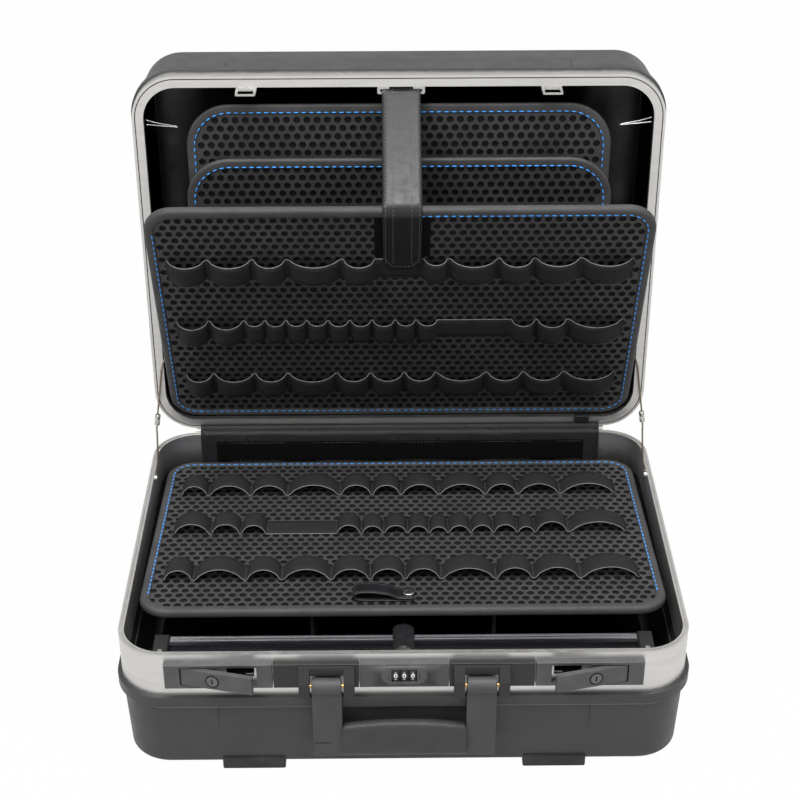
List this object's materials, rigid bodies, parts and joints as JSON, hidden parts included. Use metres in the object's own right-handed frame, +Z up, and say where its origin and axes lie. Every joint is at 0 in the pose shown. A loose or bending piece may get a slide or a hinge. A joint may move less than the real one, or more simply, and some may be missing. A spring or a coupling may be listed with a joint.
{
  "type": "hard tool case",
  "caption": "Hard-shell tool case with an aluminium frame, a hinged lid, tool loops on boards in lid and tub, two latches, a combination lock and a folding handle",
  "frame": {"origin": "middle of the underside of the open case's bounding box, on the ground", "axes": "+X to the right along the front, +Y to the rear, +Z up; the front with the latches faces -Y"},
  "size_m": [0.507, 0.4882, 0.5057],
  "materials": {
    "black_abs": "fine-textured moulded ABS",
    "frame_aluminium": "satin anodised extrusion",
    "foot_rubber": "matt black",
    "black_plate": "semi-gloss black",
    "nickel_steel": "nickel plated",
    "brass_pin": "bright",
    "handle_plastic": "fine-grained",
    "grip_vinyl": "soft grained",
    "dial_plastic": "black with white digits",
    "panel_board": "leather-grained covering",
    "binding_board": "perforated leathercloth with a sewn binding",
    "elastic": "woven elastic band",
    "black_leather": "smooth black leather",
    "rail_aluminium": "ribbed extrusion",
    "black_cloth": "hook-and-loop pile",
    "seal_rubber": "matt",
    "steel_cord": "twisted wire"
  },
  "bodies": {
    "base": {"base_shell": "black_abs", "base_frame": "frame_aluminium", "feet": "foot_rubber", "left_latch_plate": "black_plate", "right_latch_plate": "black_plate", "left_handle_bracket": "black_plate", "right_handle_bracket": "black_plate", "combination_lock_plate": "black_plate", "front_pins": "brass_pin", "hinge_base_leaf": "nickel_steel", "hinge_base_rivets": "nickel_steel", "hinge_pin": "nickel_steel", "front_rail": "rail_aluminium", "rail_holders": "black_plate", "holder_screws": "nickel_steel", "rail_tab": "black_leather", "rail_snap": "nickel_steel", "front_panel": "panel_board", "cross_dividers": "panel_board", "board_ledge": "black_abs", "floor_mat": "black_cloth", "hinge_cover": "black_leather", "hook_loop_strip": "black_cloth", "stay_screws": "nickel_steel", "left_lid_stay": "steel_cord", "right_lid_stay": "steel_cord"},
    "lid": {"lid_shell": "black_abs", "lid_frame": "frame_aluminium", "lid_seal": "seal_rubber", "lid_keepers": "nickel_steel", "strap_clips": "nickel_steel", "hinge_lid_leaf": "nickel_steel", "hinge_lid_rivets": "nickel_steel", "board_rail": "black_plate", "board_clip_knob": "black_plate", "name_plate": "frame_aluminium", "lid_strap": "black_leather"},
    "lid_front_board_body": {"lid_front_board": "binding_board", "lid_loops_top": "elastic", "lid_loops_middle": "elastic", "lid_loops_bottom": "elastic"},
    "lid_middle_board_body": {"lid_middle_board": "binding_board"},
    "lid_rear_board_body": {"lid_rear_board": "binding_board"},
    "base_board_body": {"base_board": "binding_board", "pull_loop": "black_leather", "pull_rivet": "nickel_steel", "base_loops_front": "elastic", "base_loops_middle": "elastic", "base_loops_rear": "elastic"},
    "handle": {"handle_frame": "handle_plastic", "handle_grip": "grip_vinyl"},
    "left_lever": {"left_latch_lever": "black_plate", "left_latch_hook": "nickel_steel"},
    "right_lever": {"right_latch_lever": "black_plate", "right_latch_hook": "nickel_steel"},
    "left_key": {"left_key_barrel": "nickel_steel"},
    "right_key": {"right_key_barrel": "nickel_steel"},
    "left_dial_body": {"left_dial": "dial_plastic"},
    "middle_dial_body": {"middle_dial": "dial_plastic"},
    "right_dial_body": {"right_dial": "dial_plastic"}
  },
  "joints": [
    {"name": "lid_hinge", "type": "hinge", "parent": "base", "child": "lid", "pos_m": [0, 0.15128, 0.129], "axis": [1, 0, 0], "range_deg": [0, 91], "deforming": ["hinge_cover", "left_lid_stay", "right_lid_stay"]},
    {"name": "lid_front_board_fold", "type": "hinge", "parent": "lid", "child": "lid_front_board_body", "pos_m": [0, 0.16052, 0.14834], "axis": [1, 0, 0], "range_deg": [-27, 0], "deforming": ["lid_strap"]},
    {"name": "lid_middle_board_fold", "type": "hinge", "parent": "lid", "child": "lid_middle_board_body", "pos_m": [0, 0.16951, 0.14769], "axis": [1, 0, 0], "range_deg": [-12.3, 0]},
    {"name": "lid_rear_board_fold", "type": "hinge", "parent": "lid", "child": "lid_rear_board_body", "pos_m": [0, 0.17801, 0.14754], "axis": [1, 0, 0], "range_deg": [-8.3, 0]},
    {"name": "base_board_lift", "type": "hinge", "parent": "base", "child": "base_board_body", "pos_m": [0, 0.12571, 0.1011], "axis": [1, 0, 0], "range_deg": [-60, 0]},
    {"name": "handle_swing", "type": "hinge", "parent": "base", "child": "handle", "pos_m": [0, -0.23572, 0.1037], "axis": [-1, 0, 0], "range_deg": [0, 100]},
    {"name": "left_latch_swing", "type": "hinge", "parent": "base", "child": "left_lever", "pos_m": [-0.19, -0.22672, 0.1095], "axis": [0, 0, 1], "range_deg": [-46, 14]},
    {"name": "right_latch_swing", "type": "hinge", "parent": "base", "child": "right_lever", "pos_m": [0.19, -0.22672, 0.1095], "axis": [0, 0, -1], "range_deg": [-46, 14]},
    {"name": "left_key_turn", "type": "hinge", "parent": "left_lever", "child": "left_key", "pos_m": [-0.1638, -0.23325, 0.1095], "axis": [-0.2419, -0.9703, 0], "range_deg": [0, 90]},
    {"name": "right_key_turn", "type": "hinge", "parent": "right_lever", "child": "right_key", "pos_m": [0.1638, -0.23325, 0.1095], "axis": [0.2419, -0.9703, 0], "range_deg": [0, 90]},
    {"name": "left_dial_spin", "type": "hinge", "parent": "base", "child": "left_dial_body", "pos_m": [-0.0074, -0.22092, 0.1095], "axis": [1, 0, 0], "continuous": true},
    {"name": "middle_dial_spin", "type": "hinge", "parent": "base", "child": "middle_dial_body", "pos_m": [0, -0.22092, 0.1095], "axis": [1, 0, 0], "continuous": true},
    {"name": "right_dial_spin", "type": "hinge", "parent": "base", "child": "right_dial_body", "pos_m": [0.0074, -0.22092, 0.1095], "axis": [1, 0, 0], "continuous": true}
  ],
  "couplings": [
    {"joint": "lid_front_board_fold", "follows": "lid_hinge", "ratio": -0.2967},
    {"joint": "lid_middle_board_fold", "follows": "lid_hinge", "ratio": -0.13517},
    {"joint": "lid_rear_board_fold", "follows": "lid_hinge", "ratio": -0.091209}
  ]
}
